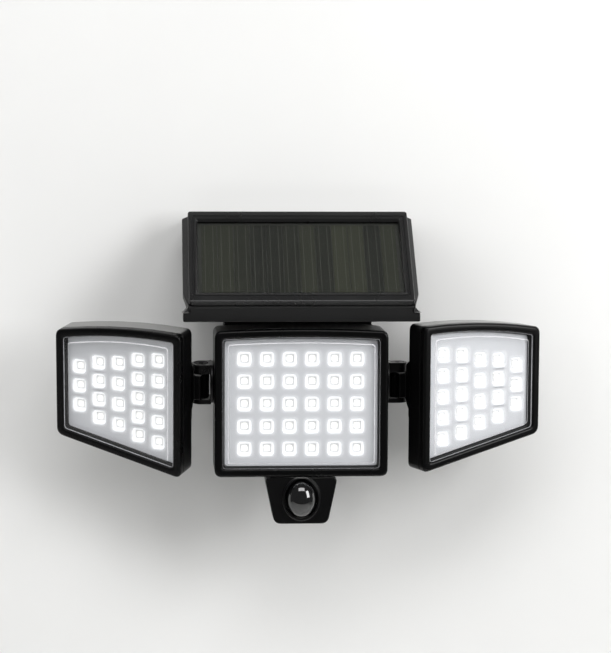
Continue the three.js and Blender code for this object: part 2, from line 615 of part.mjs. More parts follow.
piece(light, "main_housing", mainHousing(), BLACK);
piece(light, "back_cover", backCover(), BLACK);
piece(light, "housing_gasket", housingGasket(), RUBBER);
COVER_SCREWS.forEach((spot, i) => piece(light, `cover_screw_${i + 1}`, coverScrew(spot), STEEL));
piece(light, "panel_bezel", panelBezel(), BLACK);
piece(light, "solar_panel", solarPanel(), CELLS);
piece(light, "panel_gasket", panelGasket(), RUBBER);
piece(light, "battery_holder", batteryHolder(), BLACK);
piece(light, "battery_cell_front", batteryCell(CELL_YS.front), WRAP);
piece(light, "battery_cell_rear", batteryCell(CELL_YS.rear), WRAP);
piece(light, "control_board", controlBoard(), BOARD_GREEN);
piece(light, "mode_button", modeButton(), RUBBER);
piece(light, "sensor_housing", sensorHousing(), BLACK);
piece(light, "sensor_back_cover", sensorBackCover(), BLACK);
piece(light, "sensor_dome", sensorDome(), GLOSS_BLACK);
piece(light, "pir_detector", pirDetector(), STEEL);
piece(light, "sensor_board", sensorBoard(), BOARD_GREEN);

function lampPieces(group, prefix, lamp) {
  piece(group, `${prefix}_bezel`, lampBezel(lamp), BLACK);
  piece(group, `${prefix}_lens`, lampLens(lamp), CLEAR);
  piece(group, `${prefix}_lens_gasket`, lampGasket(lamp), RUBBER);
  piece(group, `${prefix}_reflector`, lampReflector(lamp), WHITE);
  piece(group, `${prefix}_led_board`, lampBoard(lamp), BOARD_WHITE);
}
lampPieces(light, "centre", centreLamp);

for (const [name, side] of [["left", -1], ["right", 1]]) {
  const arm = new THREE.Group();
  arm.position.set(side * PIN_X, PIN_Y, PIN_Z);
  arm.rotation.x = THREE.MathUtils.degToRad(TILT[name]);
  light.add(arm);
  piece(arm, `${name}_arm_yoke`, armYoke(side), BLACK);
  piece(arm, `${name}_arm_seal`, armSeal(side), RUBBER);
  piece(arm, `${name}_arm_nut`, armNut(side), BLACK);
  piece(arm, `${name}_hinge_bolt`, hingeBolt(), STEEL);
  piece(arm, `${name}_hinge_nut`, hingeNut(), STEEL);

  const head = new THREE.Group();
  head.rotation.z = THREE.MathUtils.degToRad(SWING) * side;
  arm.add(head);
  const lamp = sideLamp(side);
  piece(head, `${name}_head_shell`, headShell(lamp, side), BLACK);
  lampPieces(head, `${name}_head`, lamp);
  lamp.screws.forEach((spot, i) =>
    piece(head, `${name}_head_screw_${i + 1}`, headScrew(lamp, spot), STEEL));
}

export default floodLight;
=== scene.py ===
"""Looks of the three-head solar flood light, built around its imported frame. Metres, +Z up."""
import math

import bmesh
import bpy
from mathutils import Matrix, Vector


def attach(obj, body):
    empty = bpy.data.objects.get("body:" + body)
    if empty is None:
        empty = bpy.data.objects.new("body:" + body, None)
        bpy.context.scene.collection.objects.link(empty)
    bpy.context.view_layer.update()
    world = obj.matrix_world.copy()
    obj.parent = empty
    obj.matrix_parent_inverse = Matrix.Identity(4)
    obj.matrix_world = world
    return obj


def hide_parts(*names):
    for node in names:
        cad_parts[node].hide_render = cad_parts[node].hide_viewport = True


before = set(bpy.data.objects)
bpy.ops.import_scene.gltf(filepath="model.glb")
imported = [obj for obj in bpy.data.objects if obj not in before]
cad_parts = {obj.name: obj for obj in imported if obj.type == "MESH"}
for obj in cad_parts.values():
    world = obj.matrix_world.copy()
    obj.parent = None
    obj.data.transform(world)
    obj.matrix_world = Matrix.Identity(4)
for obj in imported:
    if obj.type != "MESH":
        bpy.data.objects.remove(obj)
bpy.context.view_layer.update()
scene = bpy.context.scene

# ---- the studio ----
# A pale wall that the light is fixed to, curving down into a pale floor, lit by soft boxes from
# above, the left and the right, and from behind for its back. Wall and floor show from the room's
# side only and cast no shadow, so the back and the underside of the light can be seen too.


class Socket:
    """An output of a shader node; Python's operators on it add Math nodes."""

    def __init__(self, finish, socket):
        self.finish = finish
        self.socket = socket

    def math(self, operation, *values):
        return self.finish.node("ShaderNodeMath", {"operation": operation}, dict(enumerate(values)))

    def __add__(self, other):
        return self.math("ADD", self, other)

    def __sub__(self, other):
        return self.math("SUBTRACT", self, other)

    def __rsub__(self, other):
        return self.math("SUBTRACT", other, self)

    def __mul__(self, other):
        return self.math("MULTIPLY", self, other)

    def __truediv__(self, other):
        return self.math("DIVIDE", self, other)

    def __mod__(self, other):
        return self.math("FLOORED_MODULO", self, other)

    def __lt__(self, other):
        return self.math("LESS_THAN", self, other)

    def __gt__(self, other):
        return self.math("GREATER_THAN", self, other)

    def __abs__(self):
        return self.math("ABSOLUTE", self)

    __radd__ = __add__
    __rmul__ = __mul__


class Finish:
    """A material made of nodes."""

    def __init__(self, name):
        self.material = bpy.data.materials.new(name)
        self.material.use_nodes = True
        self.tree = self.material.node_tree
        self.tree.nodes.clear()

    def node(self, kind, settings=None, inputs=None, output=0):
        made = self.tree.nodes.new(kind)
        for key, value in (settings or {}).items():
            setattr(made, key, value)
        for key, value in (inputs or {}).items():
            if isinstance(value, Socket):
                self.tree.links.new(value.socket, made.inputs[key])
            else:
                made.inputs[key].default_value = value
        return Socket(self, made.outputs[output]) if made.outputs else None

    def position(self, turn=(0, 0, 0)):
        """Object coordinates, turned where a pattern lies along a sloping face."""
        place = self.node("ShaderNodeTexCoord", output=3)
        return self.node("ShaderNodeMapping", {"vector_type": "TEXTURE"},
                         {"Vector": place, "Rotation": turn})

    def noise(self, scale, detail, turn=(0, 0, 0), stretch=(1, 1, 1)):
        place = self.node("ShaderNodeVectorMath", {"operation": "MULTIPLY"},
                          {0: self.position(turn), 1: stretch})
        return self.node("ShaderNodeTexNoise", {}, {"Vector": place, "Scale": scale,
                                                    "Detail": detail})

    def mix(self, factor, first, second):
        return self.node("ShaderNodeMix", {"data_type": "RGBA"}, {0: factor, 6: first, 7: second},
                         output=2)

    def ramp(self, value, start, end, largest, curve="LINEAR"):
        """0 up to the start, then rising to its largest at the end."""
        return self.node("ShaderNodeMapRange", {"interpolation_type": curve},
                         {0: value, 1: start, 2: end, 3: 0.0, 4: largest})

    def bump(self, height, depth, strength):
        return self.node("ShaderNodeBump", {}, {"Height": height, "Distance": depth,
                                                "Strength": strength})

    def plastic(self, **inputs):
        """The surface is one Principled shader; underscores stand for the spaces in its inputs."""
        named = {key.replace("_", " "): value for key, value in inputs.items()}
        return self.surface(self.node("ShaderNodeBsdfPrincipled", {}, named))

    def surface(self, shader):
        self.node("ShaderNodeOutputMaterial", {}, {"Surface": shader})
        return self


backdrop = Finish("pale_backdrop")
grain = backdrop.noise(6.0, 3.0)
wall_tone = backdrop.mix(grain, (0.80, 0.80, 0.79, 1), (0.84, 0.84, 0.83, 1))
far_side = backdrop.node("ShaderNodeNewGeometry", output=6)
shadow_ray = backdrop.node("ShaderNodeLightPath", output=1)
backdrop.surface(backdrop.node("ShaderNodeMixShader", {}, {
    0: far_side.math("MAXIMUM", far_side, shadow_ray),
    1: backdrop.node("ShaderNodeBsdfDiffuse", {}, {"Color": wall_tone}),
    2: backdrop.node("ShaderNodeBsdfTransparent")}))

WALL_TOP, FLOOR_LEVEL, ROOM_HALF, ROOM_DEPTH, WALL_GAP = 2.2, -0.95, 3.2, 1.7, 0.0006
COVE, COVE_STEPS = 0.35, 9
sweep = [(WALL_GAP, WALL_TOP), (WALL_GAP, FLOOR_LEVEL + COVE)]
for step in range(1, COVE_STEPS + 1):
    angle = math.radians(90 * step / COVE_STEPS)
    sweep.append((WALL_GAP - COVE * (1 - math.cos(angle)),
                  FLOOR_LEVEL + COVE * (1 - math.sin(angle))))
sweep += [(-ROOM_DEPTH, FLOOR_LEVEL)]
room_points = [(x, y, z) for y, z in sweep for x in (-ROOM_HALF, ROOM_HALF)]
room_faces = [(2 * i, 2 * i + 2, 2 * i + 3, 2 * i + 1) for i in range(len(sweep) - 1)]
room = bpy.data.meshes.new("wall_and_floor")
room.from_pydata(room_points, [], room_faces)
room.materials.append(backdrop.material)
room_object = bpy.data.objects.new("wall_and_floor", room)
scene.collection.objects.link(room_object)


def soft_box(name, place, aim, size, power):
    """A white area lamp, its sides in metres and its power in watts."""
    lamp = bpy.data.lights.new(name, "AREA")
    lamp.shape = "RECTANGLE"
    lamp.size, lamp.size_y = size
    lamp.energy = power
    box = bpy.data.objects.new(name, lamp)
    turn = (Vector(aim) - Vector(place)).to_track_quat("-Z", "Y")
    box.matrix_world = Matrix.Translation(place) @ turn.to_matrix().to_4x4()
    scene.collection.objects.link(box)
    return box


left_box = soft_box("soft_box_left", place=(-1.9, -1.1, 1.25), aim=(0, 0, 0),
                    size=(2.0, 2.0), power=28)
left_box.visible_glossy = False
soft_box("soft_box_right", place=(1.15, -0.95, 0.47), aim=(0, 0, -0.1),
         size=(0.55, 0.90), power=16)
soft_box("soft_box_above", place=(0.0, -1.35, 1.75), aim=(0, 0, 0.1), size=(1.8, 0.8), power=25)
soft_box("soft_box_behind", place=(0.9, 1.5, 0.8), aim=(0, 0, 0), size=(1.2, 1.2), power=22)

FILL_STRENGTH = 0.15
world = bpy.data.worlds.new("studio")
world.use_nodes = True
fill_light = world.node_tree.nodes["Background"].inputs
fill_light["Color"].default_value = (1.0, 1.0, 1.0, 1)
fill_light["Strength"].default_value = FILL_STRENGTH
scene.world = world
scene.view_settings.view_transform = "Standard"

CAMERA_PLACE, SENSOR_WIDTH, FOCAL_LENGTH = (-0.09728, -1.564, 0.16036), 36, 125.59
CAMERA_YAW, CAMERA_PITCH, CAMERA_ROLL = -3.82, -5.59, -0.24
NEAREST, FARTHEST = 0.05, 20
camera = bpy.data.cameras.new("camera")
camera.sensor_width = SENSOR_WIDTH
camera.lens = FOCAL_LENGTH
camera.clip_start, camera.clip_end = NEAREST, FARTHEST
viewer = bpy.data.objects.new("camera", camera)
viewer.matrix_world = (Matrix.Translation(CAMERA_PLACE)
                       @ Matrix.Rotation(math.radians(CAMERA_YAW), 4, "Z")
                       @ Matrix.Rotation(math.radians(CAMERA_PITCH), 4, "X")
                       @ Matrix.Rotation(math.radians(CAMERA_ROLL), 4, "Y")
                       @ Matrix.Rotation(math.radians(90), 4, "X"))
scene.collection.objects.link(viewer)
scene.camera = viewer

# ---- main housing ----
# One black moulded shell: the wedge under the solar panel, the centre lamp's box and the narrower
# box behind it. The plastic has a fine grain, a painted highlight and sheen on what faces up and on
# the housing above the lamps' tops, and every edge is slightly rounded.
black_shell = Finish("black_moulded_plastic")
grit = black_shell.noise(2600.0, 1.0)
handling = black_shell.noise(38.0, 4.0)
facing = black_shell.node("ShaderNodeNewGeometry", output=1)
up = black_shell.node("ShaderNodeSeparateXYZ", {}, {0: facing}, output=2)
# Painted highlight: faces turned up are mixed towards grey, standing in for the sheen they catch.
painted_top_highlight = black_shell.ramp(up, 0.80, 0.99, 1.0, "SMOOTHSTEP") * (0.75 + handling * 0.3)
height = black_shell.node("ShaderNodeSeparateXYZ", {}, {0: black_shell.position()}, output=2)
# Painted sheen: faces turned partly up, and the housing above the lamps' tops, are mixed towards a
# lighter grey as though lit from above.
painted_sheen_mask = black_shell.ramp(up, 0.3, 0.8, 0.5) + black_shell.ramp(height, 0.010, 0.022, 0.5)
clean = black_shell.mix(handling, (0.0010, 0.0010, 0.0011, 1), (0.0024, 0.0024, 0.0026, 1))
with_painted_sheen = black_shell.mix(painted_sheen_mask, clean, (0.024, 0.024, 0.024, 1))
black_shell.plastic(
    Base_Color=black_shell.mix(painted_top_highlight, with_painted_sheen, (0.20, 0.20, 0.195, 1)),
    Roughness=0.27 + handling * 0.12,
    Specular_IOR_Level=0.2,
    Normal=black_shell.bump(grit, 0.00004, 0.4))

SHADING_ANGLE, ROUNDING_ANGLE, FLAT_ANGLE = (math.radians(angle) for angle in (32, 34, 0.05))
WELD_DISTANCE = 2e-6


def applied(made):
    """The object's mesh with its modifiers applied."""
    return bpy.data.meshes.new_from_object(
        made.evaluated_get(bpy.context.evaluated_depsgraph_get()))


def finish_piece(mesh, name, look, body, replaced):
    """Links a finished mesh as a piece of the light, on its body."""
    mesh.materials.clear()
    mesh.materials.append(look.material)
    mesh.shade_smooth()
    mesh.set_sharp_from_angle(angle=SHADING_ANGLE)
    piece = bpy.data.objects.new(name, mesh)
    scene.collection.objects.link(piece)
    flat_faces = piece.modifiers.new("flat_faces", "WEIGHTED_NORMAL")
    flat_faces.keep_sharp = True
    piece.data = applied(piece)
    piece.modifiers.remove(flat_faces)
    piece.data.name = name
    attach(piece, body)
    if replaced:
        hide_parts(*replaced)
    return piece


def softened(node, name, edge, look, body, segments=3):
    """The CAD part's own shape with its edges rounded, as it comes out of a mould."""
    shape = bmesh.new()
    shape.from_mesh(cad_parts[node].data)
    bmesh.ops.remove_doubles(shape, verts=shape.verts, dist=WELD_DISTANCE)
    bmesh.ops.dissolve_limit(shape, angle_limit=FLAT_ANGLE, verts=shape.verts, edges=shape.edges)
    mesh = bpy.data.meshes.new(name + "_sharp")
    shape.to_mesh(mesh)
    shape.free()
    sharp = bpy.data.objects.new(name + "_sharp", mesh)
    scene.collection.objects.link(sharp)
    rounding = sharp.modifiers.new("edges", "BEVEL")
    rounding.width = edge
    rounding.segments = segments
    rounding.limit_method = "ANGLE"
    rounding.angle_limit = ROUNDING_ANGLE
    rounding.use_clamp_overlap = False
    rounded_mesh = applied(sharp)
    rounded_mesh.name = name
    bpy.data.objects.remove(sharp)
    return finish_piece(rounded_mesh, name, look, body, [node])


softened("main_housing", "housing_shell", 0.0009, black_shell, "root")

# ---- battery, control board ----
# Two battery cells in scuffed blue sleeves lie in a plastic cradle under the panel; the control
# board stands on the housing's back wall. Both circuit boards are green, with paler patches.
cell_wrap = Finish("battery_sleeve")
scuffs = cell_wrap.noise(120.0, 3.0)
cell_wrap.plastic(Base_Color=cell_wrap.mix(scuffs, (0.03, 0.13, 0.28, 1), (0.05, 0.18, 0.36, 1)),
                  Roughness=0.34 + scuffs * 0.1, Normal=cell_wrap.bump(scuffs, 0.00004, 0.4))

board_green = Finish("green_circuit_board")
weave_x, weave_z = (board_green.node("ShaderNodeTexWave", {"bands_direction": direction},
                                     {"Vector": board_green.position(), "Scale": 420.0})
                    for direction in ("X", "Z"))
copper = board_green.noise(260.0, 0.0)
board_green.plastic(
    Base_Color=board_green.mix(copper > 0.56, (0.010, 0.085, 0.035, 1), (0.030, 0.17, 0.070, 1)),
    Roughness=0.42 + (weave_x + weave_z) * 0.05,
    Normal=board_green.bump(weave_x * weave_z, 0.00003, 0.5))


def repaint(look, *nodes):
    """A CAD part whose shape is right keeps it, and gets its real material."""
    for node in nodes:
        material_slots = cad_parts[node].data.materials
        material_slots.clear()
        material_slots.append(look.material)


repaint(black_shell, "battery_holder")
repaint(cell_wrap, "battery_cell_front", "battery_cell_rear")
repaint(board_green, "control_board", "sensor_board")

# ---- back cover ----
# The flat black plate that closes the housing from behind, with two keyholes and a third screw hole
# for the wall, on a thin rubber gasket, held by four steel screws with a cross recess.
softened("back_cover", "rear_cover", 0.0005, black_shell, "root", 2)

rubber = Finish("black_rubber")
bloom = rubber.noise(90.0, 4.0)
rubber.plastic(Base_Color=rubber.mix(bloom, (0.012, 0.012, 0.012, 1), (0.024, 0.024, 0.023, 1)),
               Roughness=0.72 + bloom * 0.14, Normal=rubber.bump(bloom, 0.0001, 0.4))
repaint(rubber, "housing_gasket", "panel_gasket")

steel = Finish("plated_steel")
brushing = steel.noise(900.0, 2.0, stretch=(1, 1, 0.15))
steel.plastic(Base_Color=steel.mix(brushing, (0.50, 0.51, 0.52, 1), (0.68, 0.69, 0.70, 1)),
              Metallic=1.0, Roughness=0.24 + brushing * 0.18,
              Normal=steel.bump(brushing, 0.00002, 0.5))

MILLIMETRES = Matrix.Scale(0.001, 4)
CENTRE_LAMP = (0, -0.064, -0.038)
ON_WALL = Matrix.Translation(CENTRE_LAMP) @ MILLIMETRES


class Shell:
    """A surface put together from closed rings of points, in millimetres."""

    def __init__(self):
        self.mesh = bmesh.new()
        # Each point carries a share of painted LED light, which the reflector's finish turns into a
        # glow.
        self.painted_led_light = self.mesh.verts.layers.float.new("painted_led_light")

    def ring(self, points, painted_led_light=0.0):
        verts = [self.mesh.verts.new(point) for point in points]
        for vert in verts:
            vert[self.painted_led_light] = painted_led_light
        return verts

    def wall(self, *rings):
        for first, second in zip(rings, rings[1:]):
            count = len(first)
            for i in range(count):
                self.mesh.faces.new((first[i], first[(i + 1) % count],
                                     second[(i + 1) % count], second[i]))

    def cap(self, *rings):
        """Fills the flat area between the first ring and the rings inside it."""
        edges = []
        for ring in rings:
            for i, vert in enumerate(ring):
                pair = (vert, ring[(i + 1) % len(ring)])
                edges.append(self.mesh.edges.get(pair) or self.mesh.edges.new(pair))
        bmesh.ops.triangle_fill(self.mesh, edges=edges, use_beauty=True, use_dissolve=False)

    def lathe(self, profile, sides):
        """Turns a profile of (radius, height) pairs round Y; a radius of 0 closes it."""
        angles = [math.tau * i / sides for i in range(sides)]
        rings = []
        for radius, height in profile:
            places = [(radius * math.cos(a), height, radius * math.sin(a)) for a in angles]
            rings.append(self.ring(places if radius else places[:1]))
        for first, second in zip(rings, rings[1:]):
            if len(first) == len(second):
                self.wall(first, second)
            else:
                point, ring = (first, second) if len(first) == 1 else (second, first)
                for i in range(sides):
                    self.mesh.faces.new((point[0], ring[i], ring[(i + 1) % sides]))

    def make(self, name, place):
        bmesh.ops.recalc_face_normals(self.mesh, faces=self.mesh.faces)
        mesh = bpy.data.meshes.new(name)
        self.mesh.to_mesh(mesh)
        self.mesh.free()
        mesh.transform(place)
        return mesh


def copies_tree():
    """Geometry Nodes: a copy of a small part on every point, some of them turned at random."""
    tree = bpy.data.node_groups.new("copies_on_points", "GeometryNodeTree")
    face = tree.interface
    face.new_socket("Points", in_out="INPUT", socket_type="NodeSocketGeometry")
    face.new_socket("Part", in_out="INPUT", socket_type="NodeSocketObject")
    face.new_socket("Material", in_out="INPUT", socket_type="NodeSocketMaterial")
    face.new_socket("Largest turn", in_out="INPUT", socket_type="NodeSocketFloat")
    face.new_socket("Seed", in_out="INPUT", socket_type="NodeSocketInt")
    face.new_socket("Copies", in_out="OUTPUT", socket_type="NodeSocketGeometry")
    given, result, part, turn, angle, euler, spread, real, paint = (
        tree.nodes.new(kind) for kind in (
            "NodeGroupInput", "NodeGroupOutput", "GeometryNodeObjectInfo",
            "FunctionNodeRandomValue", "ShaderNodeCombineXYZ", "FunctionNodeEulerToRotation",
            "GeometryNodeInstanceOnPoints", "GeometryNodeRealizeInstances",
            "GeometryNodeSetMaterial"))
    for start, end in (
            (given.outputs["Part"], part.inputs["Object"]),
            (given.outputs["Largest turn"], turn.inputs[3]),
            (given.outputs["Seed"], turn.inputs["Seed"]),
            (turn.outputs[1], angle.inputs["Y"]),
            (angle.outputs[0], euler.inputs[0]),
            (given.outputs["Points"], spread.inputs["Points"]),
            (part.outputs["Geometry"], spread.inputs["Instance"]),
            (euler.outputs[0], spread.inputs["Rotation"]),
            (spread.outputs[0], real.inputs[0]),
            (real.outputs[0], paint.inputs["Geometry"]),
            (given.outputs["Material"], paint.inputs["Material"]),
            (paint.outputs[0], result.inputs[0])):
        tree.links.new(start, end)
    return tree


COPIES = copies_tree()


def copies(name, part_mesh, points, look, place, largest_turn=0.0, seed=1):
    """The part's mesh on every point as one plain mesh. The points are in millimetres."""
    part = bpy.data.objects.new(name + "_part", part_mesh)
    spots = bpy.data.meshes.new(name + "_points")
    spots.from_pydata(points, [], [])
    base = bpy.data.objects.new(name + "_points", spots)
    for made in (part, base):
        scene.collection.objects.link(made)
    tree = base.modifiers.new("copies", "NODES")
    tree.node_group = COPIES
    values = {"Part": part, "Material": look.material, "Largest turn": largest_turn, "Seed": seed}
    for item in COPIES.interface.items_tree:
        if item.name in values:
            tree[item.identifier] = values[item.name]
    mesh = applied(base)
    mesh.name = name
    mesh.transform(place)
    for made in (part, base):
        bpy.data.objects.remove(made)
    return mesh


def cross_screw(radius, head, shank_radius, length):
    """A pan head facing +Y with a cross recess, its seat at y = 0."""
    body = Shell()
    body.lathe([(0, head), (radius * 0.45, head * 0.97), (radius * 0.8, head * 0.8),
                (radius, head * 0.42), (radius, 0), (shank_radius, 0),
                (shank_radius, 0.6 - length), (shank_radius * 0.5, -length), (0, -length)], 28)
    recess = bmesh.new()
    slot_length, slot_width = 1.1, 0.24
    for wide, deep in ((slot_length, slot_width), (slot_width, slot_length)):
        bmesh.ops.create_cube(recess, size=1.0, matrix=Matrix.Translation((0, head * 0.85, 0))
                              @ Matrix.Diagonal((wide * radius, head * 1.1, deep * radius, 1)))
    blank = bpy.data.objects.new("screw_blank", body.make("screw_blank", Matrix.Identity(4)))
    punch_mesh = bpy.data.meshes.new("screw_recess")
    recess.to_mesh(punch_mesh)
    recess.free()
    punch = bpy.data.objects.new("screw_recess", punch_mesh)
    for made in (blank, punch):
        scene.collection.objects.link(made)
    carve = blank.modifiers.new("recess", "BOOLEAN")
    carve.object = punch
    carve.solver = "EXACT"
    carve.use_self = True
    screw = applied(blank)
    for made in (blank, punch):
        bpy.data.objects.remove(made)
    return screw


COVER_SCREW_SEAT = 62.6
COVER_SCREW_SPOTS = [(x, COVER_SCREW_SEAT, z)
                     for x, z in ((-68.5, 111), (68.5, 111), (-43, -35), (43, -35))]
cover_screw = cross_screw(radius=3.0, head=1.25, shank_radius=1.4, length=6.5)
finish_piece(copies("cover_screws", cover_screw, COVER_SCREW_SPOTS, steel, ON_WALL,
                    largest_turn=math.tau, seed=4),
             "cover_screws", steel, "root", [f"cover_screw_{i}" for i in range(1, 5)])

# ---- solar panel ----
# A clear sheet over one row of narrow silicon cells on a black backing, lying in a black rim on
# the slope of the housing. A groove and a rounded bead run round the rim's opening.
PANEL_CENTRE, PANEL_TILT = (0, 15.3, 97.5), math.radians(45)
PANEL_PLACE = ON_WALL @ Matrix.Translation(PANEL_CENTRE) @ Matrix.Rotation(PANEL_TILT, 4, "X")
PANEL_HALF_U, PANEL_HALF_V, RIM_U, RIM_V = 74.5, 40.0, 6.2, 8.4
SLOPE = (PANEL_TILT, 0, 0)
CORNER_STEPS = 6


def rounded_box(half_u, half_v, radius, height):
    """A rectangle with round corners, flat at one height."""
    points = []
    for quarter, (su, sv) in enumerate(((1, 1), (-1, 1), (-1, -1), (1, -1))):
        for step in range(CORNER_STEPS + 1):
            angle = math.radians(90 * quarter + 90 * step / CORNER_STEPS)
            points.append((su * (half_u - radius) + radius * math.cos(angle),
                           sv * (half_v - radius) + radius * math.sin(angle), height))
    return points


rim = Shell()
rim_rings = []
for edge_u, edge_v, radius, height in (
        (0.0, 0.0, 1.8, -5.0), (0.0, 0.0, 1.8, -1.0), (0.3, 0.3, 1.6, -0.3), (1.0, 1.0, 1.3, 0.0),
        (2.6, 4.2, 1.2, 0.0), (2.9, 4.5, 1.2, -0.5), (3.7, 5.3, 1.2, -0.5), (4.0, 5.6, 1.2, 0.0),
        (5.0, 7.0, 1.1, -0.1), (5.8, 7.9, 1.0, -0.9), (6.2, 8.4, 0.9, -1.7), (6.2, 8.4, 0.9, -2.2),
        (3.6, 5.8, 0.9, -2.2), (3.6, 5.8, 0.9, -5.0)):
    rim_rings.append(rim.ring(rounded_box(PANEL_HALF_U - edge_u, PANEL_HALF_V - edge_v, radius,
                                          height)))
rim.wall(*rim_rings, rim_rings[0])

bezel_black = Finish("black_bezel_plastic")
fine = bezel_black.noise(3400.0, 0.0)
wipe = bezel_black.noise(26.0, 4.0)
bezel_black.plastic(
    Base_Color=bezel_black.mix(wipe, (0.0050, 0.0050, 0.0052, 1), (0.0100, 0.0100, 0.0102, 1)),
    Roughness=0.22 + wipe * 0.12,
    Specular_IOR_Level=0.32,
    Normal=bezel_black.bump(fine, 0.00002, 0.3))
finish_piece(rim.make("panel_rim", PANEL_PLACE), "panel_rim", bezel_black, "root",
             ["panel_bezel"])

UNDER_RIM, SHEET_CORNER, BACKING_BOTTOM, BACKING_TOP = 2.5, 1.0, -4.9, -3.5
sheet_u, sheet_v = PANEL_HALF_U - RIM_U + UNDER_RIM, PANEL_HALF_V - RIM_V + UNDER_RIM
backing = Shell()
bottom, top = (backing.ring(rounded_box(sheet_u, sheet_v, SHEET_CORNER, height))
               for height in (BACKING_BOTTOM, BACKING_TOP))
backing.cap(bottom)
backing.wall(bottom, top)
backing.cap(top)
cell_backing = Finish("panel_backing_sheet")
mottle = cell_backing.noise(60.0, 3.0, SLOPE)
cell_backing.plastic(
    Base_Color=cell_backing.mix(mottle, (0.006, 0.006, 0.006, 1), (0.010, 0.010, 0.009, 1)),
    Roughness=0.5 + mottle * 0.1)
finish_piece(backing.make("panel_backing", PANEL_PLACE), "panel_backing", cell_backing, "root",
             [])

CELL_COLUMNS, CELL_ROWS, CELL_GAP = 12, 1, 0.55
CELL_FIELD_U, CELL_FIELD_V, CELL_THICK = 2 * 66.0, 2 * 30.0, 0.25
cell_pitch_u, cell_pitch_v = CELL_FIELD_U / CELL_COLUMNS, CELL_FIELD_V / CELL_ROWS


def cells_tree():
    """Geometry Nodes: a field of flat cells in rows and columns, centred on the panel."""
    tree = bpy.data.node_groups.new("solar_cell_field", "GeometryNodeTree")
    face = tree.interface
    face.new_socket("Geometry", in_out="INPUT", socket_type="NodeSocketGeometry")
    for name in ("Field width", "Field height", "Cell width", "Cell height", "Thickness"):
        face.new_socket(name, in_out="INPUT", socket_type="NodeSocketFloat")
    for name in ("Columns", "Rows"):
        face.new_socket(name, in_out="INPUT", socket_type="NodeSocketInt")
    face.new_socket("Material", in_out="INPUT", socket_type="NodeSocketMaterial")
    face.new_socket("Cells", in_out="OUTPUT", socket_type="NodeSocketGeometry")
    given, result, grid, size, cell, spread, real, paint = (
        tree.nodes.new(kind) for kind in (
            "NodeGroupInput", "NodeGroupOutput", "GeometryNodeMeshGrid", "ShaderNodeCombineXYZ",
            "GeometryNodeMeshCube", "GeometryNodeInstanceOnPoints",
            "GeometryNodeRealizeInstances", "GeometryNodeSetMaterial"))
    for start, end in (
            (given.outputs["Field width"], grid.inputs["Size X"]),
            (given.outputs["Field height"], grid.inputs["Size Y"]),
            (given.outputs["Columns"], grid.inputs["Vertices X"]),
            (given.outputs["Rows"], grid.inputs["Vertices Y"]),
            (given.outputs["Cell width"], size.inputs["X"]),
            (given.outputs["Cell height"], size.inputs["Y"]),
            (given.outputs["Thickness"], size.inputs["Z"]),
            (size.outputs[0], cell.inputs["Size"]),
            (grid.outputs["Mesh"], spread.inputs["Points"]),
            (cell.outputs["Mesh"], spread.inputs["Instance"]),
            (spread.outputs[0], real.inputs[0]),
            (real.outputs[0], paint.inputs["Geometry"]),
            (given.outputs["Material"], paint.inputs["Material"]),
            (paint.outputs[0], result.inputs[0])):
        tree.links.new(start, end)
    return tree


silicon = Finish("solar_cell_silicon")
u_axis = silicon.node("ShaderNodeSeparateXYZ", {}, {0: silicon.position(SLOPE)})
v_axis = silicon.node("ShaderNodeSeparateXYZ", {}, {0: silicon.position(SLOPE)}, output=1)
FINGER_PITCH, FINGER_SHARE, BUS_BAR_HALF = 0.0016, 0.14, 0.00022
fingers = (v_axis % FINGER_PITCH) < FINGER_PITCH * FINGER_SHARE
pitch_u = cell_pitch_u / 1000
bus_bar = abs((u_axis % (pitch_u / 2)) - pitch_u / 4) < BUS_BAR_HALF
crystal = silicon.noise(70.0, 1.0, SLOPE, (1.0, 0.35, 0.35))
strip = (u_axis - (u_axis % pitch_u)) / pitch_u
strip_tone = silicon.node("ShaderNodeTexWhiteNoise", {"noise_dimensions": "1D"}, {"W": strip})
warm = silicon.mix(strip_tone, (0.0060, 0.0062, 0.0066, 1), (0.0300, 0.0310, 0.0220, 1))
olive = silicon.mix(crystal * 0.35, warm, (0.0300, 0.0310, 0.0240, 1))
lined = silicon.mix(fingers * 0.25, olive, (0.050, 0.051, 0.048, 1))
silicon.plastic(Base_Color=silicon.mix(bus_bar * 0.5, lined, (0.075, 0.076, 0.070, 1)),
                Roughness=0.42 + crystal * 0.15, Specular_IOR_Level=0.15,
                Normal=silicon.bump(fingers + bus_bar, 0.00003, 0.5))

CELLS = cells_tree()
cell_base = bpy.data.objects.new("cells_seed", bpy.data.meshes.new("cells_seed"))
scene.collection.objects.link(cell_base)
cell_maker = cell_base.modifiers.new("cells", "NODES")
cell_maker.node_group = CELLS
cell_values = {"Field width": CELL_FIELD_U - cell_pitch_u,
               "Field height": CELL_FIELD_V - cell_pitch_v,
               "Cell width": cell_pitch_u - CELL_GAP, "Cell height": cell_pitch_v - CELL_GAP,
               "Thickness": CELL_THICK, "Columns": CELL_COLUMNS, "Rows": CELL_ROWS,
               "Material": silicon.material}
for item in CELLS.interface.items_tree:
    if item.name in cell_values and item.in_out == "INPUT":
        cell_maker[item.identifier] = cell_values[item.name]
cells = applied(cell_base)
bpy.data.objects.remove(cell_base)
cells.name = "solar_cells"
cells.transform(PANEL_PLACE @ Matrix.Translation((0, 0, BACKING_TOP + CELL_THICK / 2)))
finish_piece(cells, "solar_cells", silicon, "root", ["solar_panel"])

sheet = Shell()
low, edge, high = (
    sheet.ring(rounded_box(sheet_u - inset, sheet_v - inset, SHEET_CORNER, height))
    for inset, height in ((0.1, -3.2), (0.1, -2.7), (0.2, -2.5)))
sheet.cap(low)
sheet.wall(low, edge, high)
sheet.cap(high)


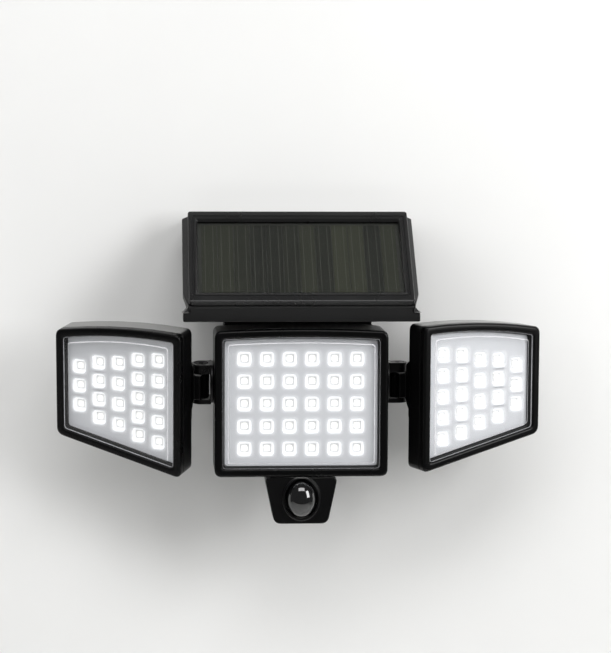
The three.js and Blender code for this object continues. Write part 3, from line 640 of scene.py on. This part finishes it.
def clear_finish(name, tint, roughness):
    """See-through plastic: light goes straight through it and its front face mirrors the room."""
    clear = Finish(name)
    mirror = clear.node("ShaderNodeFresnel", {}, {"IOR": 1.49})
    behind = clear.node("ShaderNodeNewGeometry", output=6)
    smears = clear.noise(45.0, 4.0)
    clear.surface(clear.node("ShaderNodeMixShader", {}, {
        0: mirror * (1 - behind),
        1: clear.node("ShaderNodeBsdfTransparent", {}, {"Color": tint}),
        2: clear.node("ShaderNodeBsdfGlossy", {}, {"Roughness": roughness + smears * 0.05})}))
    return clear


panel_cover = clear_finish("panel_cover_sheet", (0.96, 0.97, 0.95, 1), 0.08)
finish_piece(sheet.make("panel_cover", PANEL_PLACE), "panel_cover", panel_cover, "root",
             [])

# ---- three lamp fronts ----
# Each lamp is a stack: a black bezel ring, a stepped clear lens, a rubber gasket, a silvered
# reflector with a square cup round every LED, and a white board with its LED packages.
CORNER, LEAST_CORNER = 5.0, 2


def inset_corners(corners, distance):
    """The four corners, bottom left first and anticlockwise, moved inwards."""
    lines = []
    for i, corner in enumerate(corners):
        after = corners[(i + 1) % 4]
        length = math.hypot(after[0] - corner[0], after[1] - corner[1])
        along = ((after[0] - corner[0]) / length, (after[1] - corner[1]) / length)
        lines.append(((corner[0] - along[1] * distance, corner[1] + along[0] * distance), along))
    moved = []
    for i, (point, along) in enumerate(lines):
        before, back = lines[i - 1]
        cross = back[0] * along[1] - back[1] * along[0]
        t = ((point[0] - before[0]) * along[1] - (point[1] - before[1]) * along[0]) / cross
        moved.append((before[0] + t * back[0], before[1] + t * back[1]))
    return moved


def bend(start, middle, end, steps):
    """Points of a quadratic curve, without its last one."""
    return [tuple((1 - t) ** 2 * a + 2 * t * (1 - t) * b + t * t * c
                  for a, b, c in zip(start, middle, end)) for t in (i / steps for i in range(steps))]


def outline(corners, radius, arch, distance):
    """The lamp's outline in X and Z, drawn in by a distance, its top edge slightly arched."""
    def towards(a, b):
        length = math.hypot(b[0] - a[0], b[1] - a[1])
        return (a[0] + (b[0] - a[0]) * radius / length, a[1] + (b[1] - a[1]) * radius / length)

    low_left, low_right, high_right, high_left = inset_corners(corners, distance)
    crest = ((high_left[0] + high_right[0]) / 2, (high_left[1] + high_right[1]) / 2 + 2 * arch)
    side_steps, top_steps, corner_steps = 6, 28, 8

    def straight(a, b):
        return bend(a, ((a[0] + b[0]) / 2, (a[1] + b[1]) / 2), b, side_steps)

    return (straight(towards(low_left, low_right), towards(low_right, low_left))
            + bend(towards(low_right, low_left), low_right, towards(low_right, high_right),
                   corner_steps)
            + straight(towards(low_right, high_right), towards(high_right, low_right))
            + bend(towards(high_right, low_right), high_right, towards(high_right, high_left),
                   corner_steps)
            + bend(towards(high_right, high_left), crest, towards(high_left, high_right), top_steps)
            + bend(towards(high_left, high_right), high_left, towards(high_left, low_left),
                   corner_steps)
            + straight(towards(high_left, low_left), towards(low_left, high_left))
            + bend(towards(low_left, high_left), low_left, towards(low_left, low_right),
                   corner_steps))


def lamp_ring(shell, lamp, distance, depth):
    """The lamp's outline drawn in by a distance, at a depth behind its LED plane."""
    radius = max(CORNER - distance / 2, LEAST_CORNER)
    points = outline(lamp["corners"], radius, lamp["arch"], distance)
    return shell.ring([(x, lamp["y"] + depth, z) for x, z in points])


def lamp_bezel(lamp):
    """Soft outer edge, nearly flat front and a fine bead along the window."""
    bezel = Shell()
    rings = [lamp_ring(bezel, lamp, distance, depth) for distance, depth in (
        (0.0, -3.0), (0.0, -5.2), (0.0, -7.2), (0.25, -8.05), (0.8, -8.7), (1.7, -9.0),
        (3.9, -8.95), (4.5, -8.8), (4.95, -8.45), (5.2, -8.0), (5.2, -6.9), (2.4, -6.9),
        (2.4, -3.0))]
    bezel.wall(*rings, rings[0])
    return bezel


def lamp_lens(lamp):
    """A flange that the bezel holds, and a raised window with a groove round it."""
    lens = Shell()
    back = lamp_ring(lens, lamp, 2.8, -4.6)
    rings = [back] + [lamp_ring(lens, lamp, distance, depth) for distance, depth in (
        (2.8, -6.6), (5.5, -6.6), (5.5, -7.7), (5.7, -7.9), (8.8, -7.9), (9.4, -8.4))]
    lens.cap(back)
    lens.wall(*rings)
    lens.cap(rings[-1])
    return lens


def square(x, z, half, radius, y, steps=4):
    """A square with round corners in X and Z."""
    points = []
    for quarter, (sx, sz) in enumerate(((1, 1), (-1, 1), (-1, -1), (1, -1))):
        for step in range(steps + 1):
            angle = math.radians(90 * quarter + 90 * step / steps)
            points.append((x + sx * (half - radius) + radius * math.cos(angle), y,
                           z + sz * (half - radius) + radius * math.sin(angle)))
    return points


def lamp_reflector(lamp):
    """A plate with a sloping square cup for each LED; painted LED light glows in each cup and fades
    over its edge.
    """
    plate = Shell()
    front = lamp_ring(plate, lamp, 6.9, -2.9)
    sides = [lamp_ring(plate, lamp, 6.5, -2.5), lamp_ring(plate, lamp, 6.5, 0.6)]
    plate.wall(front, *sides)
    mouths, floors = [], []
    for x, z in lamp["leds"]:
        rings = [plate.ring(square(x, z, half, radius, lamp["y"] + depth), painted_led_light)
                 for half, radius, depth, painted_led_light in (
                     (6.9, 3.6, -2.9, 0.02), (6.1, 3.2, -2.9, 0.10), (5.5, 2.9, -2.9, 0.19),
                     (5.05, 2.7, -2.86, 0.27), (4.7, 2.5, -2.6, 0.36), (4.4, 2.2, -1.6, 0.5),
                     (4.0, 1.5, 0.2, 0.8),
                     (2.9, 0.7, 0.35, 1.0), (2.9, 0.7, 0.6, 0.6))]
        plate.wall(*rings)
        mouths.append(rings[0])
        floors.append(rings[-1])
    plate.cap(front, *mouths)
    plate.cap(sides[-1], *floors)
    return plate


def lamp_board(lamp):
    """The flat board that the LEDs stand on."""
    board = Shell()
    rings = [lamp_ring(board, lamp, 2.8, depth) for depth in (0.9, 2.5)]
    board.cap(rings[0])
    board.wall(*rings)
    board.cap(rings[1])
    return board


def led_body():
    """The package: a rounded square frame with a shallow round window, facing -Y."""
    body = Shell()
    rings = [body.ring(square(0, 0, half, radius, y, 3)) for half, radius, y in (
        (2.5, 0.4, 0.9), (2.5, 0.4, 0.12), (2.38, 0.35, 0.0), (2.0, 1.3, 0.0), (1.8, 1.2, 0.25))]
    body.cap(rings[0])
    body.wall(*rings)
    body.cap(rings[-1])
    return body.make("led_body", Matrix.Identity(4))


def led_phosphor():
    """The filled window, slightly domed."""
    window = Shell()
    rings = [window.ring(square(0, 0, half, radius, y, 3)) for half, radius, y in (
        (1.8, 1.2, 0.24), (1.95, 1.28, 0.08), (1.5, 1.0, -0.02), (0.7, 0.5, -0.08))]
    window.cap(rings[0])
    window.wall(*rings)
    window.cap(rings[-1])
    return window.make("led_phosphor", Matrix.Identity(4))


frame_black = Finish("black_lamp_frame_plastic")
polish = frame_black.noise(26.0, 4.0)
satin = frame_black.noise(3400.0, 0.0)
frame_black.plastic(
    Base_Color=frame_black.mix(polish, (0.0008, 0.0008, 0.0009, 1), (0.0020, 0.0020, 0.0021, 1)),
    Roughness=0.22 + polish * 0.12,
    Specular_IOR_Level=0.16,
    Normal=frame_black.bump(satin, 0.00002, 0.3))

lens_clear = clear_finish("clear_lens_plastic", (0.97, 0.975, 0.98, 1), 0.05)
# The edges of the lens: their emission is painted light, the LEDs' light glowing in the edges.
lens_edge = Finish("lens_edge_light")
edge_wave = lens_edge.noise(220.0, 2.0)
lens_edge.surface(lens_edge.node("ShaderNodeMixShader", {}, {
    0: 0.30 + edge_wave * 0.35,
    1: lens_edge.node("ShaderNodeBsdfTransparent"),
    2: lens_edge.node("ShaderNodeBsdfPrincipled", {}, {
        "Base Color": lens_edge.mix(edge_wave, (0.80, 0.80, 0.84, 1), (0.92, 0.92, 0.94, 1)),
        "Roughness": 0.25, "Emission Color": (0.95, 0.95, 1.0, 1), "Emission Strength": 0.12})}))

silver = Finish("silvered_reflector")
# Painted light: the cups glow with the LEDs' light, strongest at each cup's floor and fading over
# its edge.
painted_cup_light = silver.node("ShaderNodeAttribute", {"attribute_name": "painted_led_light"}, output=2)
flow = silver.noise(30.0, 3.0)
silver.plastic(
    Base_Color=silver.mix(flow, (0.68, 0.68, 0.70, 1), (0.77, 0.77, 0.78, 1)),
    Metallic=0.1, Roughness=0.30 + flow * 0.12,
    Emission_Color=silver.mix(painted_cup_light, (0, 0, 0, 1), (1.0, 1.0, 1.0, 1)), Emission_Strength=0.7,
    Normal=silver.bump(flow, 0.0002, 0.3))

board_white = Finish("white_led_board")
mask = board_white.noise(150.0, 2.0)
board_white.plastic(Base_Color=board_white.mix(mask, (0.74, 0.74, 0.72, 1), (0.82, 0.82, 0.80, 1)),
                    Roughness=0.40 + mask * 0.1)

# Its emission is painted glow: the package's white frame shines with the light of its LED.
led_white = Finish("led_package_white")
chip_tone = led_white.noise(500.0, 1.0)
led_white.plastic(
    Base_Color=led_white.mix(chip_tone, (0.58, 0.58, 0.57, 1), (0.68, 0.68, 0.67, 1)),
    Roughness=0.4 + chip_tone * 0.1, Emission_Color=(1, 1, 1, 1), Emission_Strength=0.32)

phosphor = Finish("led_phosphor_lit")
hot = phosphor.noise(700.0, 1.0)
phosphor.plastic(Base_Color=(0.9, 0.88, 0.75, 1), Roughness=0.35,
                 Emission_Color=phosphor.mix(hot, (0.93, 0.93, 0.91, 1), (1.0, 1.0, 1.0, 1)),
                 Emission_Strength=0.9)

PIN_X, PIN_Y, PIN_Z, SWING = 66.0, 17.0, 12.7, 21.6
TILTS = {"left": 8.9, "right": 0.8}
SIDES = (("left", -1), ("right", 1))
CENTRE_HALF, CENTRE_TOP, CENTRE_BOTTOM, CENTRE_ARCH = 57.6, 48.9, -48.3, 1.3
CENTRE_COLUMNS, CENTRE_ROWS, CENTRE_PITCH = 6, 5, 15.0
HEAD_INNER, HEAD_OUTER, HEAD_LED_PLANE, HEAD_BACK = 1.0, 89.8, -27.7, -14.6
HEAD_TOP, HEAD_BOTTOM, HEAD_ARCH = (40.6, 36.8), (-57.8, -35.8), 2.2
HEAD_FIRST_COLUMN, HEAD_PITCH = 19.3, 14.0
HEAD_COLUMNS = ((5, 20.5, -36.0), (5, 19.5, -32.5), (4, 16.0, -26.5), (4, 15.0, -23.0),
                (3, 11.0, -15.5))
EDGE_FACING = 0.95

lamps = {"centre": {
    "corners": [(-CENTRE_HALF, CENTRE_BOTTOM), (CENTRE_HALF, CENTRE_BOTTOM),
                (CENTRE_HALF, CENTRE_TOP), (-CENTRE_HALF, CENTRE_TOP)],
    "arch": CENTRE_ARCH, "y": 0.0, "body": "root", "prefix": "centre", "place": ON_WALL,
    "leds": [((column - (CENTRE_COLUMNS - 1) / 2) * CENTRE_PITCH,
              ((CENTRE_ROWS - 1) / 2 - row) * CENTRE_PITCH)
             for column in range(CENTRE_COLUMNS) for row in range(CENTRE_ROWS)]}}
arm_places = {}
for name, side in SIDES:
    arm_places[name] = (ON_WALL @ Matrix.Translation((side * PIN_X, PIN_Y, PIN_Z))
                        @ Matrix.Rotation(math.radians(TILTS[name]), 4, "X"))
    near = [(side * HEAD_INNER, HEAD_BOTTOM[0]), (side * HEAD_INNER, HEAD_TOP[0])]
    far = [(side * HEAD_OUTER, HEAD_BOTTOM[1]), (side * HEAD_OUTER, HEAD_TOP[1])]
    lamps[name] = {
        "corners": ([near[0], far[0], far[1], near[1]] if side > 0
                    else [far[0], near[0], near[1], far[1]]),
        "arch": HEAD_ARCH, "y": HEAD_LED_PLANE, "body": f"{name}_head", "prefix": f"{name}_head",
        "place": arm_places[name] @ Matrix.Rotation(math.radians(SWING * side), 4, "Z"),
        "leds": [(side * (HEAD_FIRST_COLUMN + HEAD_PITCH * column),
                  top + (bottom - top) * row / (count - 1))
                 for column, (count, top, bottom) in enumerate(HEAD_COLUMNS)
                 for row in range(count)]}

for lamp in lamps.values():
    prefix, body, place = lamp["prefix"], lamp["body"], lamp["place"]
    finish_piece(lamp_bezel(lamp).make(f"{prefix}_bezel_ring", place), f"{prefix}_bezel_ring",
                 frame_black, body, [f"{prefix}_bezel"])
    window = finish_piece(lamp_lens(lamp).make(f"{prefix}_window", place), f"{prefix}_window",
                          lens_clear, body, [f"{prefix}_lens"]).data
    window.materials.append(lens_edge.material)
    out_of_lamp = (place.to_3x3() @ Vector((0, 1, 0))).normalized()
    for polygon in window.polygons:
        is_edge = abs(polygon.normal.dot(out_of_lamp)) < EDGE_FACING
        polygon.material_index = 1 if is_edge else 0
    finish_piece(lamp_reflector(lamp).make(f"{prefix}_cups", place), f"{prefix}_cups", silver, body,
                 [f"{prefix}_reflector"])
    finish_piece(lamp_board(lamp).make(f"{prefix}_board", place), f"{prefix}_board", board_white,
                 body, [f"{prefix}_led_board"])
    spots = [(x, lamp["y"], z) for x, z in lamp["leds"]]
    for kind, part, look in (("packages", led_body(), led_white),
                             ("phosphors", led_phosphor(), phosphor)):
        finish_piece(copies(f"{prefix}_led_{kind}", part, spots, look, place),
                     f"{prefix}_led_{kind}", look, body, [])
    repaint(rubber, f"{prefix}_lens_gasket")

# ---- side lamp shells ----
# The black tray behind each side lamp's front, moulded with the bracket that the hinge goes
# through. Three small steel screws go in from behind.
HEAD_SCREW_SPOTS, HEAD_SCREW_SINK = ((11.0, -43.0), (78.0, 26.5), (78.0, -27.0)), 1.6
for name, side in SIDES:
    softened(f"{name}_head_shell", f"{name}_tray", 0.0009, black_shell, f"{name}_head")
    spots = [(side * x, HEAD_BACK - HEAD_SCREW_SINK, z) for x, z in HEAD_SCREW_SPOTS]
    head_screw = cross_screw(radius=2.7, head=1.35, shank_radius=1.1, length=6.0)
    finish_piece(copies(f"{name}_head_screws", head_screw, spots, steel, lamps[name]["place"],
                        largest_turn=math.tau, seed=7 + side),
                 f"{name}_head_screws", steel, f"{name}_head",
                 [f"{name}_head_screw_{i}" for i in (1, 2, 3)])

# ---- arms ----
# A black yoke turns in the housing's side on a hollow stub, with a rubber ring for friction and a
# plastic nut inside. A blackened steel bolt and nut through its two ears hold the side lamp.
black_zinc = Finish("blackened_steel")
wear = black_zinc.noise(700.0, 3.0)
black_zinc.plastic(
    Base_Color=black_zinc.mix(wear, (0.020, 0.020, 0.021, 1), (0.050, 0.050, 0.050, 1)),
    Metallic=0.9, Roughness=0.30 + wear * 0.2,
    Normal=black_zinc.bump(wear, 0.00002, 0.4))
for name in ("left", "right"):
    body = f"{name}_arm"
    softened(f"{name}_arm_yoke", f"{name}_yoke", 0.0005, black_shell, body)
    softened(f"{name}_arm_nut", f"{name}_inner_nut", 0.0005, black_shell, body, 2)
    softened(f"{name}_hinge_bolt", f"{name}_bolt", 0.0003, black_zinc, body, 2)
    softened(f"{name}_hinge_nut", f"{name}_nut", 0.0003, black_zinc, body, 2)
    repaint(rubber, f"{name}_arm_seal")

# ---- motion sensor pod ----
# A tapered black pod under the centre lamp. A collar round its opening holds the glossy black dome
# in front of the infrared detector, which stands on its own small board.
softened("sensor_housing", "pod_shell", 0.0009, black_shell, "root")

POD_FRONT, DOME_Z, DOME_RADIUS, DOME_STRETCH, DOME_WALL = -7.6, -62.9, 10.3, 1.22, 1.0
FLANGE, FLANGE_FRONT, FLANGE_BACK = 0.8, 2.7, 3.8
ARC_STEPS = 14


def dome_curve(radius, angles):
    """Points (radius, height) along the dome, from its tip outwards as the angles rise."""
    return [(radius * math.sin(a), -radius * math.cos(a)) for a in angles]


rising = [math.radians(90) * i / ARC_STEPS for i in range(ARC_STEPS + 1)]
dome = Shell()
dome.lathe(dome_curve(DOME_RADIUS, rising)
           + [(DOME_RADIUS, FLANGE_FRONT), (DOME_RADIUS + FLANGE, FLANGE_FRONT),
              (DOME_RADIUS + FLANGE, FLANGE_BACK), (DOME_RADIUS - DOME_WALL, FLANGE_BACK)]
           + dome_curve(DOME_RADIUS - DOME_WALL, rising[::-1]), sides=48)
DOME_PLACE = (ON_WALL @ Matrix.Translation((0, POD_FRONT, DOME_Z))
              @ Matrix.Diagonal((1, 1, DOME_STRETCH, 1)))
gloss = Finish("gloss_black_dome")
facets = gloss.noise(420.0, 0.0)
gloss.plastic(
    Base_Color=gloss.mix(facets, (0.0010, 0.0010, 0.0012, 1), (0.0024, 0.0024, 0.0026, 1)),
    Roughness=0.06 + facets * 0.03, Specular_IOR_Level=0.6,
    Coat_Weight=0.8, Coat_Roughness=0.03,
    Normal=gloss.bump(facets, 0.00002, 0.2))
finish_piece(dome.make("dome_cap", DOME_PLACE), "dome_cap", gloss, "root",
             ["sensor_dome"])
softened("sensor_back_cover", "pod_back", 0.0006, black_shell, "root")
repaint(steel, "pir_detector")

# ---- mode button ----
# A soft rubber push button in the underside of the housing's rear box.
softened("mode_button", "push_button", 0.0007, rubber, "button")
